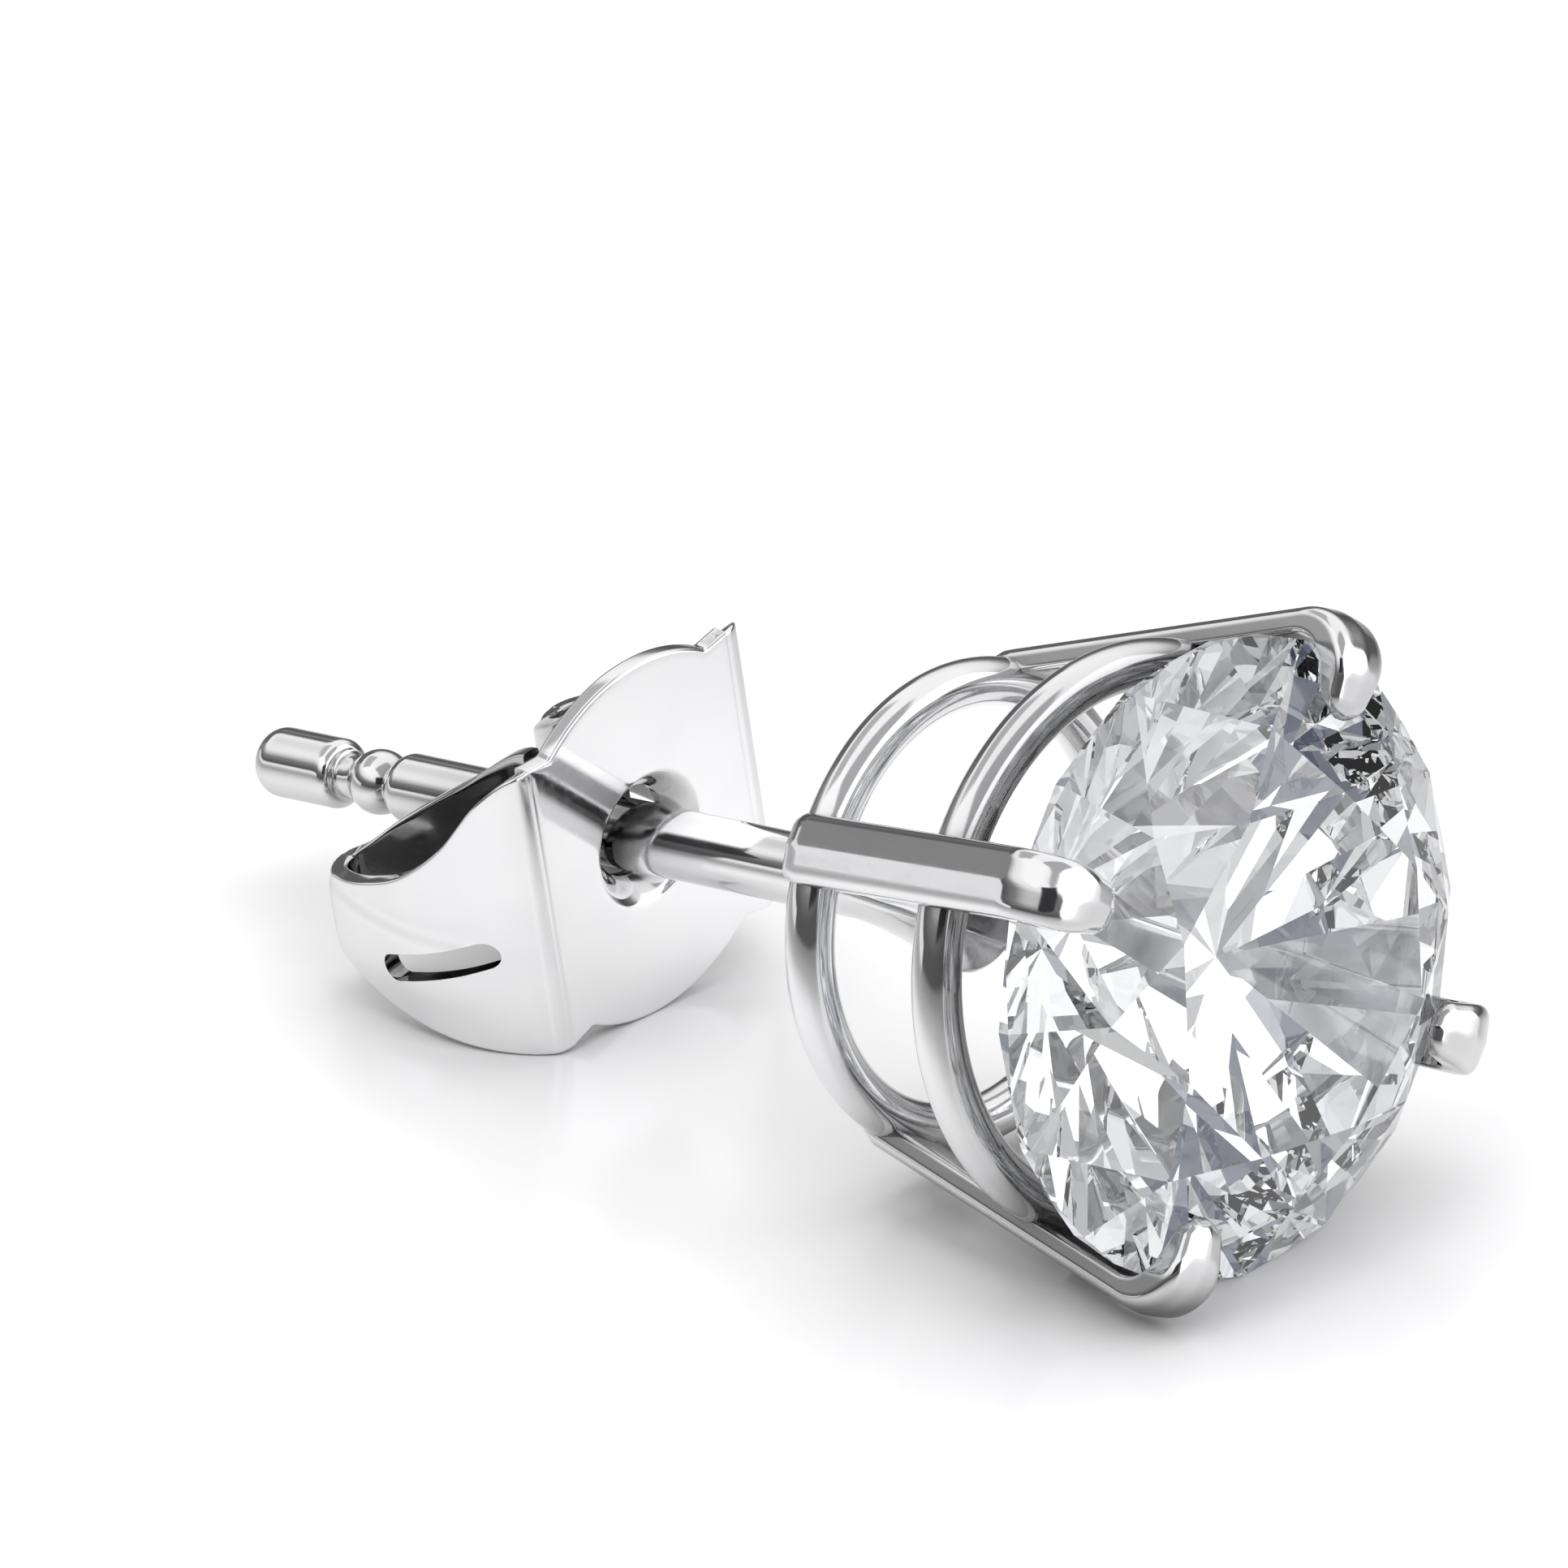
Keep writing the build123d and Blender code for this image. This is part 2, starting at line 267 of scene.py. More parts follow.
def bar_section(
    width: Array, depth: Array, outer_round: float, inner_round: float, roof: float
) -> Array:
    """Cross-sections of a bar: a rectangle with rounded corners whose outer face falls away on both
    sides of its middle like a soft roof, by roof times the distance from the middle over half a width.

    Args:
        width: width at each station.
        depth: inner to outer face at each station.
        outer_round: radius of the two outer corners.
        inner_round: radius of the two inner corners.
        roof: fall of the outer face at its sides.

    Returns:
        Stations by points by 2: across and outwards from the inner face.
    """
    half, deep = width[:, None] / 2, depth[:, None]
    room = 0.98 * np.minimum(half, deep / 2)
    big, small = np.minimum(outer_round, room), np.minimum(inner_round, room)
    quarter = np.radians(np.linspace(0, 90, 8))
    cos, sin = np.cos(quarter), np.sin(quarter)
    run = np.linspace(0, 1, 12)[1:-1]
    rise = np.linspace(0, 1, 8)[1:-1]
    across = np.hstack((
        half - big + big * cos,
        (half - big) * (1 - 2 * run),
        -(half - big) - big * sin,
        -half + 0 * rise,
        -(half - small) - small * cos,
        -(half - small) * (1 - 2 * run),
        half - small + small * sin,
        half + 0 * rise,
    ))
    out = np.hstack((
        deep - big + big * sin,
        deep + 0 * run,
        deep - big + big * cos,
        (deep - big) * (1 - rise) + small * rise,
        small - small * sin,
        0 * deep + 0 * run,
        small - small * cos,
        small * (1 - rise) + (deep - big) * rise,
    ))
    fall = roof * np.sqrt((across / half) ** 2 + 0.003)
    return np.stack((across, out - fall * np.clip(out / deep, 0, 1) ** 2), -1)


# Bench work on meshes


def work(base: bpy.types.Object, tool: bpy.types.Object, how: Joinery) -> bpy.types.Object:
    """Solder a tool solid on, or pierce with it, and use the tool up.

    Args:
        base: the solid worked on.
        tool: the other solid.
        how: soldered or pierced.

    Returns:
        The base, with its new mesh.
    """
    joint = base.modifiers.new(how.name.lower(), "BOOLEAN")
    joint.operation, joint.object, joint.solver = how.value, tool, "MANIFOLD"
    depsgraph = bpy.context.evaluated_depsgraph_get()
    made = bpy.data.meshes.new_from_object(base.evaluated_get(depsgraph))
    base.modifiers.clear()
    base.data = made
    bpy.data.objects.remove(tool)
    return base


@dataclass(frozen=True)
class Lie:
    """How a sub-assembly lies: its own axes and origin in the row frame, in millimetres."""

    origin: Array
    axes: Array

    def lay(self, piece: bpy.types.Object, sharp: float) -> None:
        """Write a piece's vertices in the row frame in metres, and shade it smooth up to an angle.

        Args:
            piece: object whose mesh is in the sub-assembly's axes.
            sharp: edges that turn more than this stay crisp.
        """
        mesh = piece.data
        points = np.empty(3 * len(mesh.vertices), np.float32)
        mesh.vertices.foreach_get("co", points)
        placed = (points.reshape(-1, 3).astype(float) @ self.axes + self.origin) * MM
        mesh.vertices.foreach_set("co", placed.astype(np.float32).ravel())
        mesh.materials.clear()
        mesh.shade_smooth()
        mesh.set_sharp_from_angle(angle=math.radians(sharp))
        mesh.update()


# Finishes


@dataclass
class Wiring:
    """Shorthand for laying nodes in one tree."""

    tree: bpy.types.NodeTree

    def add(self, kind: str, **settings: object) -> bpy.types.Node:
        """New node of a kind with its properties set.

        Args:
            kind: Blender's name of the node type.
            settings: property name to its value.

        Returns:
            The node.
        """
        node = self.tree.nodes.new(kind)
        for name, value in settings.items():
            setattr(node, name, value)
        return node

    def feed(self, node: bpy.types.Node, **inputs: object) -> bpy.types.Node:
        """Set or link a node's inputs; underscores in a name stand for spaces.

        Args:
            node: node to feed.
            inputs: socket name to a value or an output socket.

        Returns:
            The node.
        """
        for name, value in inputs.items():
            socket = node.inputs[int(name[1:])] if name[0] == "i" and name[1:].isdigit() else None
            socket = socket or node.inputs[name.replace("_", " ")]
            if isinstance(value, bpy.types.NodeSocket):
                self.tree.links.new(value, socket)
            else:
                socket.default_value = value
        return node

    def math(self, operation: str, *values: object) -> bpy.types.NodeSocket:
        """Result of a Math node on one to three values or sockets."""
        node = self.add("ShaderNodeMath", operation=operation)
        return self.feed(node, **{f"i{k}": v for k, v in enumerate(values)}).outputs[0]

    def remap(self, value: object, low: float, high: float, to_low: float, to_high: float) -> object:
        """Smooth-stepped Map Range of a value, clamped."""
        node = self.add("ShaderNodeMapRange", interpolation_type="SMOOTHSTEP")
        return self.feed(node, i0=value, i1=low, i2=high, i3=to_low, i4=to_high).outputs[0]

    def blend(self, factor: object, first: object, second: object) -> bpy.types.NodeSocket:
        """Colour mix of two colours by a factor."""
        node = self.add("ShaderNodeMix", data_type="RGBA")
        return self.feed(node, i0=factor, i6=first, i7=second).outputs[2]


def new_group(name: str, inputs: dict[str, float], outputs: dict[str, str]) -> bpy.types.NodeTree:
    """Shader node group with float inputs and named outputs.

    Args:
        name: of the group.
        inputs: input name to its default value.
        outputs: output name to its socket type.

    Returns:
        The group, without nodes.
    """
    group = bpy.data.node_groups.new(name, "ShaderNodeTree")
    for label, value in inputs.items():
        socket = group.interface.new_socket(label, in_out="INPUT", socket_type="NodeSocketFloat")
        socket.default_value = value
    for label, kind in outputs.items():
        group.interface.new_socket(label, in_out="OUTPUT", socket_type=kind)
    return group


def polish_marks() -> bpy.types.NodeTree:
    """Group of the marks a buffing wheel leaves: fine lines along one direction, broad soft waves in
    the sheen, and a faint tarnish, each from noise on Object coordinates.

    Returns:
        The group, with the outputs Tone, Gloss and Height.
    """
    group = new_group(
        "polish_marks",
        {"Line Scale": 9000, "Wave Scale": 500, "Depth": 1.0},
        {"Tone": "NodeSocketFloat", "Gloss": "NodeSocketFloat", "Height": "NodeSocketFloat"},
    )
    w = Wiring(group)
    given = w.add("NodeGroupInput")
    place = w.add("ShaderNodeTexCoord").outputs["Object"]
    drawn = w.feed(w.add("ShaderNodeMapping"), Vector=place, Scale=(0.06, 1.0, 1.0)).outputs[0]
    lines = w.add("ShaderNodeTexNoise")
    w.feed(lines, Vector=drawn, Scale=given.outputs["Line Scale"], Detail=3.0, Roughness=0.6)
    waves = w.add("ShaderNodeTexNoise")
    w.feed(waves, Vector=place, Scale=given.outputs["Wave Scale"], Detail=2.0, Roughness=0.5)
    out = w.add("NodeGroupOutput")
    w.feed(
        out,
        Tone=w.remap(waves.outputs["Fac"], 0.35, 0.7, 0.0, 1.0),
        Gloss=w.remap(lines.outputs["Fac"], 0.3, 0.75, 0.0, 1.0),
        Height=w.math("MULTIPLY", lines.outputs["Fac"], given.outputs["Depth"]),
    )
    return group


@dataclass(frozen=True)
class WhiteMetal:
    """Bright rhodium-white polish: near-mirror, with faint buffing lines and a breath of tarnish, and
    with
    painted shade: a dark grey mixed into its colour by ambient occlusion in recesses and at joints.
    """

    name: str
    bright: tuple[float, float, float] = (0.93, 0.93, 0.935)
    dull: tuple[float, float, float] = (0.88, 0.88, 0.89)
    # Painted shade: its dark colour, how far the occlusion looks, the occlusion span over which it fades,
    # and whether only the piece itself casts it; its sample count is below.
    painted_shade: tuple[float, float, float] = (0.24, 0.237, 0.235)
    shade_reach: float = 0.0018
    shade_span: Pair = (0.24, 0.90)
    shade_from_self_only: bool = False
    smoothest: float = 0.07
    roughest: float = 0.12
    shade_samples: int = 4
    bump: float = 0.3
    line_scale: float = 9000.0
    relief: float = 0.00000025

    def material(self, marks: bpy.types.NodeTree) -> bpy.types.Material:
        """Make the material.

        Args:
            marks: the shared group of polish marks.

        Returns:
            The material.
        """
        made = bpy.data.materials.new(self.name)
        made.use_nodes = True
        w = Wiring(made.node_tree)
        shader = made.node_tree.nodes["Principled BSDF"]
        group = w.add("ShaderNodeGroup", node_tree=marks)
        w.feed(group, Line_Scale=self.line_scale)
        tone = w.blend(group.outputs["Tone"], (*self.bright, 1), (*self.dull, 1))
        # Painted shade: ambient occlusion darkens the colour towards a dark grey in recesses, at joints
        # and where other surfaces come near.
        occlusion_shade = w.add(
            "ShaderNodeAmbientOcclusion", samples=self.shade_samples, only_local=self.shade_from_self_only
        )
        w.feed(occlusion_shade, Distance=self.shade_reach)
        tone = w.blend(w.remap(occlusion_shade.outputs["AO"], *self.shade_span, 0, 1), (*self.painted_shade, 1), tone)
        gloss = w.remap(group.outputs["Gloss"], 0.0, 1.0, self.smoothest, self.roughest)
        bump = w.add("ShaderNodeBump")
        w.feed(bump, Strength=self.bump, Distance=self.relief, Height=group.outputs["Height"])
        w.feed(shader, Base_Color=tone, Roughness=gloss, Metallic=1.0, Normal=bump.outputs[0])
        return made


@dataclass(frozen=True)
class ClearStone:
    """Colourless brilliant: high refraction, flat polished facets, a trace of cool body colour."""

    name: str = "clear_brilliant"
    ior: float = 2.30
    clear: tuple[float, float, float] = (0.985, 0.992, 1.0)
    cool: tuple[float, float, float] = (0.95, 0.97, 1.0)

    def material(self) -> bpy.types.Material:
        """Make the material.

        Returns:
            The material.
        """
        made = bpy.data.materials.new(self.name)
        made.use_nodes = True
        w = Wiring(made.node_tree)
        shader = made.node_tree.nodes["Principled BSDF"]
        place = w.add("ShaderNodeTexCoord").outputs["Object"]
        cloud = w.feed(w.add("ShaderNodeTexNoise"), Vector=place, Scale=350.0, Detail=1.0)
        tint = w.blend(w.remap(cloud.outputs["Fac"], 0.4, 0.65, 0, 1), (*self.clear, 1), (*self.cool, 1))
        w.feed(shader, Base_Color=tint, Roughness=0.0, Metallic=0.0, IOR=self.ior)
        shader.inputs["Transmission Weight"].default_value = 1.0
        return made


@dataclass(frozen=True)
class TableTop:
    """Pale satin table, plain in colour where the camera sees it. In reflections its colour is a painted
    pool
    of light: bright beside the object and falling off with distance, so that polished metal shows a dark
    horizon."""

    name: str = "pale_table"
    colour: tuple[float, float, float] = (0.95, 0.95, 0.955)
    # Painted pool of light: its tone beside the object and far away, and the distances over which it
    # falls.
    near_pool_light: float = 0.88
    far_pool_light: float = 0.50
    middle: tuple[float, float, float] = (0.0, 0.0, 0.0)
    pool: Pair = (0.002, 0.018)
    roughness: float = 0.16
    specular: float = 0.35

    def material(self) -> bpy.types.Material:
        """Make the material.

        Returns:
            The material.
        """
        made = bpy.data.materials.new(self.name)
        made.use_nodes = True
        shader = made.node_tree.nodes["Principled BSDF"]
        w = Wiring(made.node_tree)
        place = w.add("ShaderNodeTexCoord").outputs["Object"]
        away = w.feed(w.add("ShaderNodeVectorMath", operation="DISTANCE"), i0=place, i1=self.middle)
        away = away.outputs["Value"]
        # Painted pool of light: in reflections the colour falls from light beside the object to darker
        # away from it; camera rays see the plain colour.
        tone = w.remap(away, *self.pool, self.near_pool_light, self.far_pool_light)
        painted_pool = w.feed(w.add("ShaderNodeCombineColor"), i0=tone, i1=tone, i2=tone).outputs[0]
        seen = w.add("ShaderNodeLightPath").outputs["Is Camera Ray"]
        w.feed(shader, Base_Color=w.blend(seen, painted_pool, (*self.colour, 1)), Roughness=self.roughness)
        shader.inputs["Specular IOR Level"].default_value = self.specular
        return made


# Sub-assemblies


@dataclass
class Setting:
    """Basket of four prongs on two wire rails, with its bridge and the post, soldered into one."""

    lie: Lie
    rail_wire: float = 0.31
    base_rail: Pair = (2.78, -4.36)
    gallery_rail: Pair = (3.41, -1.65)
    ring_steps: int = 224
    wire_sides: int = 44
    prong_count: int = 4
    prong_width: float = 0.88
    prong_foot: Pair = (3.16, -4.67)
    prong_inner_foot: Pair = (2.76, -4.67)
    shoulder: Pair = (4.43, 0.02)
    bend_radius: float = 0.75
    bend_turn: float = 112.0
    claw_front: float = 0.46
    inner_line: tuple[Pair, ...] = ((4.04, -0.04), (4.07, 0.18), (3.84, 0.46), (3.26, 0.64))
    seat_pull: Pair = (0.05, 0.20)
    arch_pull: Pair = (-0.02, 0.17)
    nose_width: float = 0.60
    nose_tip: Pair = (3.13, 0.74)
    nose_start: Pair = (0.52, 0.72)
    nose_power: float = 0.6
    taper_lead: int = 14
    outer_round: float = 0.17
    inner_round: float = 0.06
    roof: float = 0.055
    foot_ease: float = 0.05
    bridge_width: float = 0.80
    bridge_depth: float = 0.46
    bridge_round: float = 0.09
    post_radius: float = 0.45
    post_steps: int = 80

    def prong(self) -> Shell:
        """One prong. Its outer and inner lines are followed side by side, and at every station a bar
        section spans the two; the width narrows past the bend and rounds to nothing at the nose.

        Returns:
            The shell, with the prong at angle 0 round the axis.
        """
        foot, shoulder = np.asarray(self.prong_foot), np.asarray(self.shoulder)
        way = (shoulder - foot) / np.linalg.norm(shoulder - foot)
        heading = math.degrees(math.atan2(way[1], way[0]))
        pivot = shoulder + self.bend_radius * np.array((-way[1], way[0]))
        bend = arc(tuple(pivot), self.bend_radius, heading - 90, heading - 90 + self.bend_turn, 44)
        last = math.radians(heading + self.bend_turn)
        front_end = bend[-1] + self.claw_front * np.array((math.cos(last), math.sin(last)))
        seat, seat_top, arch, contact = (np.asarray(p) for p in self.inner_line)
        shank_out, shank_in = line(foot, shoulder, 30), line(self.prong_inner_foot, seat, 30)
        ease_in = np.linspace(0, 1, len(bend))[1:, None]
        under = (
            seat * (1 - ease_in) ** 3
            + 3 * (seat + self.seat_pull) * ease_in * (1 - ease_in) ** 2
            + 3 * (seat_top + self.arch_pull) * ease_in**2 * (1 - ease_in)
            + arch * ease_in**3
        )
        knee_out = bend[-1] + self.nose_start[0] * (front_end - bend[-1])
        knee_in = arch + self.nose_start[1] * (contact - arch)
        run_out, run_in = line(bend[-1], knee_out, 10)[1:], line(arch, knee_in, 10)[1:]
        tip = np.asarray(self.nose_tip)
        swing = np.radians(np.linspace(0, 90, 16))[1:-1, None]
        drop = 1 - np.cos(swing)
        ahead = np.sin(swing) - drop
        nose_out = knee_out + (tip - knee_out) * drop + (front_end - knee_out) * ahead
        nose_in = knee_in + (tip - knee_in) * drop + (contact - knee_in) * ahead
        outer = np.vstack((shank_out, bend[1:], run_out, nose_out))
        inner = np.vstack((shank_in, under, run_in, nose_in))
        depth = np.linalg.norm(outer - inner, axis=1)
        lean = (outer - inner) / depth[:, None]
        width = np.full(len(outer), self.prong_width)
        tail = len(run_out) + len(nose_out) + self.taper_lead
        width[-tail:] -= (self.prong_width - self.nose_width) * ease(np.linspace(0, 1, tail), 0, 1)
        rounding = np.linspace(0, np.pi / 2, len(nose_out) + 2)[1:-1]
        width[-len(nose_out):] *= np.cos(rounding) ** self.nose_power
        along = np.linalg.norm(outer - outer[0], axis=1)
        inset = self.foot_ease - np.sqrt(
            np.maximum(self.foot_ease**2 - np.maximum(self.foot_ease - along, 0) ** 2, 0)
        )
        section = bar_section(
            width - 2 * inset, depth - 2 * inset, self.outer_round, self.inner_round, self.roof
        )
        plan = inner[:, None] + lean[:, None] * (section[..., 1:] + inset[:, None, None])
        return skin(np.stack((plan[..., 0], section[..., 0], plan[..., 1]), -1))

    def prongs(self) -> list[bpy.types.Object]:
        """The four prongs, a quarter turn apart: the first is swung round the axis.

        Returns:
            One object for each prong.
        """
        one = self.prong()
        made = []
        for k in range(self.prong_count):
            turn = 2 * np.pi * k / self.prong_count
            swing = np.array((
                (math.cos(turn), math.sin(turn), 0),
                (-math.sin(turn), math.cos(turn), 0),
                (0, 0, 1),
            ))
            made.append(Shell(one.vertices @ swing, one.quads, one.triangles).to_object(f"prong_{k}"))
        return made

    def bridge(self) -> Shell:
        """Flat bar across the base rail: one rounded section carried along a diameter.

        Returns:
            The closed shell.
        """
        stations = np.linspace(-self.base_rail[0], self.base_rail[0], 24)
        size = np.ones(len(stations))
        section = bar_section(
            self.bridge_width * size, self.bridge_depth * size, self.bridge_round, self.bridge_round, 0
        )
        low = self.base_rail[1] - self.bridge_depth / 2
        along = stations[:, None] + 0 * section[..., 0]
        return skin(np.stack((section[..., 0], along, low + section[..., 1]), -1))

    def post(self) -> Shell:
        """Post turned from one profile: solder disc, flare, plain wire, two grooves with a ridge
        between them, and a barrel tip with a domed end.

        Returns:
            The closed shell.
        """
        r = self.post_radius
        profile = np.vstack((
            line((0.78, -4.14), (0.82, -4.18), 3),
            arc_through((0.82, -4.44), (0.59, -5.18), (r, -6.10), 26),
            line((r, -6.2), (r, -13.86), 24),
            arc_through((r, -13.90), (0.40, -14.02), (0.29, -14.14), 8),
            arc_through((0.29, -14.17), (0.42, -14.48), (0.29, -14.76), 18),
            line((0.285, -14.79), (0.285, -15.03), 4),
            arc((r - 0.14, -15.19), 0.14, 90, 0, 9),
            line((r, -15.26), (r, -16.06), 6),
            arc((r - 0.32, -16.13), 0.32, 0, -84, 14),
        ))
        return turned(profile, self.post_steps)

    def build(self) -> bpy.types.Object:
        """Solder the rails, prongs, bridge and post together and lay the setting down.

        Returns:
            The finished piece.
        """
        body = wire_ring(
            self.base_rail[0], self.rail_wire, self.base_rail[1], self.ring_steps, self.wire_sides
        ).to_object("four_prong_setting")
        gallery = wire_ring(
            self.gallery_rail[0], self.rail_wire, self.gallery_rail[1], self.ring_steps, self.wire_sides
        )
        for part in (
            gallery.to_object("gallery"),
            *self.prongs(),
            self.bridge().to_object("bridge"),
            self.post().to_object("post"),
        ):
            work(body, part, Joinery.SOLDER)
        self.lie.lay(body, sharp=CREASE)
        return body


@dataclass
class Clutch:
    """Butterfly clutch: a plate with a dished hole, and a band rolled back from it into two curls."""

    lie: Lie
    sheet: float = 0.24
    plate_radius: float = 2.47
    ear_root: Pair = (1.30, 1.98)
    notch_round: float = 0.14
    fold_start: float = 1.84
    arcs: tuple[Pair, ...] = ((0.36, 44.0), (2.10, 44.0), (4.20, 24.0), (0.52, 98.0))
    leaf_turn: float = 60.0
    leaf_flare: float = 12.0
    leaf_gap: float = 0.56
    flank_top: tuple[Pair, ...] = (
        (0.0, 2.04), (0.45, 1.72), (1.00, 0.98), (1.70, 0.38), (2.40, 0.02), (3.00, -0.23), (3.40, -0.33),
        (3.70, -0.36),
    )
    leaf_top: tuple[Pair, ...] = ((0.90, 1.38), (2.40, 0.44), (3.05, -0.02), (3.40, -0.32), (3.70, -0.36))
    bottom_line: tuple[Pair, ...] = (
        (0.0, -2.12), (0.60, -2.04), (1.40, -1.91), (2.40, -1.74), (3.10, -1.57), (3.70, -1.42)
    )
    edge_round: float = 0.06
    hole_radius: float = 0.60
    dish_radius: float = 0.94
    dish_depth: float = 0.34
    dish_lip: float = -0.35
    collar_root: float = 1.16
    collar_waist: Pair = (0.98, 0.07)
    collar_end: Pair = (0.17, -0.46)
    collar_lip: Pair = (0.085, -0.44)
    bore_run: Pair = (-0.43, -0.35)
    blank_inset: float = 0.02
    blank_run: Pair = (0.2, -0.6)
    groove: tuple[float, float, float, float] = (0.012, 0.16, -0.28, -0.05)
    pillow: float = 0.04
    pillow_edges: tuple[Pair, Pair] = ((0.32, 0.62), (-1.75, -1.15))
    relief_start: Pair = (0.45, 1.0)
    proud: float = 0.004
    slot_length: float = 1.85
    slot_height: float = 0.38
    slot_depth: float = 1.32
    slot_level: float = -0.82
    slot_droop: float = 20.0

    def roll(self) -> tuple[Array, Array]:
        """Far half of the band's outer line in plan, a chain of arcs each tangent to the last, and
        the unit vectors from the outer to the inner face.

        Returns:
            Points and inward vectors, one row each.
        """
        point, heading = np.array((0.0, self.fold_start)), 90.0
        points, inward = [], []
        arcs = list(self.arcs)
        for index in range(len(arcs) + 1):
            if index == len(arcs):
                leaf = (point[1] - self.leaf_gap) / (1 - math.cos(math.radians(self.leaf_turn)))
                radius, turn = leaf, self.leaf_turn + self.leaf_flare
            else:
                radius, turn = arcs[index]
            normal = np.array((-math.sin(math.radians(heading)), math.cos(math.radians(heading))))
            centre = point + radius * normal
            count = max(10, int(turn * (0.55 + 0.16 * radius)))
            swept = arc(tuple(centre), radius, heading - 90, heading - 90 + turn, count)
            points.append(swept[1:])
            inward.append((centre - swept[1:]) / radius)
            point, heading = swept[-1], heading + turn
        return np.vstack(points), np.vstack(inward)

    def press(self, along: Array, height: Array) -> Array:
        """Outward relief pressed into the flanks: a pillow about the slot under a shallow groove.

        Args:
            along: depth behind the plate's front, for every point.
            height: height of every point.

        Returns:
            Outward shift of every point.
        """
        deep, half, level, slope = self.groove
        groove = np.exp(-(((height - level - slope * along) / half) ** 2))
        above, below = self.pillow_edges
        pillow = ease(-height, *above) * ease(height, *below)
        return ease(along, *self.relief_start) * (self.pillow * pillow - deep * groove)

    def band(self) -> Shell:
        """The rolled band in one piece, from the near leaf across the plate to the far leaf. At every
        station a thin rounded rectangle stands between the band's lower and upper outline, read at
        each point's own depth.

        Returns:
            The closed shell.
        """
        far, far_in = self.roll()
        flat_y = np.linspace(-self.fold_start, self.fold_start, 40)
        flat = np.column_stack((0 * flat_y, flat_y))
        flat_in = np.tile((-1.0, 0.0), (len(flat), 1))
        mirror = np.array((1.0, -1.0))
        path = np.vstack(((far * mirror)[::-1], flat, far))
        into = np.vstack(((far_in * mirror)[::-1], flat_in, far_in))
        r, t = self.edge_round, self.sheet
        quarter = np.radians(np.linspace(0, 90, 7))
        face = np.linspace(0, 1, 34)[1:-1]
        edge = np.linspace(r, t - r, 3)[1:-1]
        cos, sin = np.cos(quarter), np.sin(quarter)
        inset = np.concatenate((
            0 * face, r - r * cos, edge, t - r + r * sin,
            t + 0 * face, t - r + r * cos, edge[::-1], r - r * sin,
        ))
        share = np.concatenate((
            face, 1 + 0 * cos, 1 + 0 * edge, 1 + 0 * sin, face[::-1], 0 * cos, 0 * edge, 0 * sin
        ))
        lift = np.concatenate((
            0 * face, r * sin, r + 0 * edge, r * cos, 0 * face, -r * sin, -r + 0 * edge, -r * cos
        ))
        plan = path[:, None] + into[:, None] * inset[None, :, None]
        depth = -plan[..., 0]
        top, bottom = self.edges(path, depth)
        height = bottom + r + share * (top - bottom - 2 * r) + lift
        on_flank = (np.abs(path[:, 1]) > self.fold_start)[:, None]
        plan = plan - into[:, None] * (on_flank * self.press(depth, height))[..., None]
        return skin(np.concatenate((plan, height[..., None]), -1))

    def edges(self, path: Array, depth: Array) -> tuple[Array, Array]:
        """Height of the band's two edges. Across the plate they widen from the ears' roots to the folds;
        beyond a fold they follow the side outline at each point's own depth, and past the back of the
        roll the upper edge is the leaf's.

        Args:
            path: points of the band's outer line, from one leaf to the other.
            depth: depth of every point of the band behind the plate's front, one row per path point.

        Returns:
            Height of the upper and of the lower edge at every point.
        """
        back = len(path) - 1 - int(np.argmin(path[::-1, 0]))
        past = (np.abs(np.arange(len(path)) - (len(path) - 1) / 2) > back - (len(path) - 1) / 2)[:, None]
        top = np.where(past, follow(self.leaf_top, depth), follow(self.flank_top, depth))
        bottom = follow(self.bottom_line, depth)
        on_plate = (np.abs(path[:, 1]) <= self.fold_start) & (path[:, 0] > -1e-6)
        root_y, root_z = self.ear_root
        share = np.clip((np.abs(path[:, 1]) - root_y) / (self.fold_start - root_y), 0, 1)
        flat_top = (root_z + share * (self.flank_top[0][1] - root_z))[:, None] + 0 * depth
        flat_bottom = (-root_z + share * (self.bottom_line[0][1] + root_z))[:, None] + 0 * depth
        on_plate = on_plate[:, None]
        return np.where(on_plate, flat_top, top), np.where(on_plate, flat_bottom, bottom)

    def quarter(self, ear: float) -> Array:
        """Outline of the plate over one quarter: up the fold, in along the ear's edge, round the notch,
        whose small circle touches both the edge and the disc, and along the disc to its pole.

        Args:
            ear: height of the ear at the fold.

        Returns:
            Outline points across and up.
        """
        disc, r = self.plate_radius, self.notch_round
        root, tip = np.array(self.ear_root), np.array((self.fold_start, ear))
        along = (tip - root) / np.linalg.norm(tip - root)
        off = np.array((-along[1], along[0])) * r
        start = root + off
        nearest = start @ along
        centre = start + (math.sqrt(nearest**2 - start @ start + (disc + r) ** 2) - nearest) * along
        first, last = (math.degrees(math.atan2(-v[1], -v[0])) for v in (off, centre))
        notch = arc(tuple(centre), r, first, last, 9)
        touch = math.degrees(math.atan2(centre[1], centre[0]))
        side = line((self.fold_start, 0.0), tuple(tip), 14)[:-1]
        edge = line(tuple(tip), tuple(notch[0]), 5)[:-1]
        return np.vstack((side, edge, notch, arc((0, 0), disc, touch, 90, 30)[1:]))

    def outline(self) -> tuple[Array, Array]:
        """Outline of the plate: a disc cut off at the two folds, with the ears of the band.

        Returns:
            Angle and radius of each outline point.
        """
        upper, lower = self.quarter(self.flank_top[0][1]), self.quarter(-self.bottom_line[0][1])
        half = np.vstack((lower[::-1] * (1, -1), upper[1:]))
        around = np.vstack((half, (half * (-1, 1))[-2:0:-1]))
        return np.arctan2(around[:, 1], around[:, 0]), np.hypot(around[:, 0], around[:, 1])

